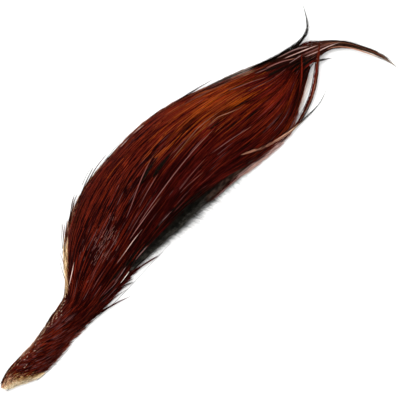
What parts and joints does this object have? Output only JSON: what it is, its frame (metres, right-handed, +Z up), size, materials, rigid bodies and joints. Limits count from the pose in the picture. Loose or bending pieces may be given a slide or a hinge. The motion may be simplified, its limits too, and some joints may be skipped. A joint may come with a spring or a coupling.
{
  "type": "rooster cape",
  "caption": "Half neck cape of a brown rooster: a narrow dried skin carrying long glossy hackle feathers that sweep to fine curved tips, lying flat.",
  "frame": {"origin": "on the flat underside of the dried skin, at mid-length of the cape and near the middle of its width, on the surface that the cape lies on", "axes": "+X along the cape from the narrow head end to the long feather tips, +Y across it from the straight cut edge to the curved outer edge, +Z up through the feathers"},
  "size_m": [0.2981, 0.0774, 0.0174],
  "materials": {
    "skin": "dried raw skin, parchment cream with small pits",
    "hackles": "glossy red-brown feathers with ginger and black streaks"
  },
  "bodies": {
    "root": {"skin": "skin", "hackle_coat": "hackles"}
  },
  "joints": []
}
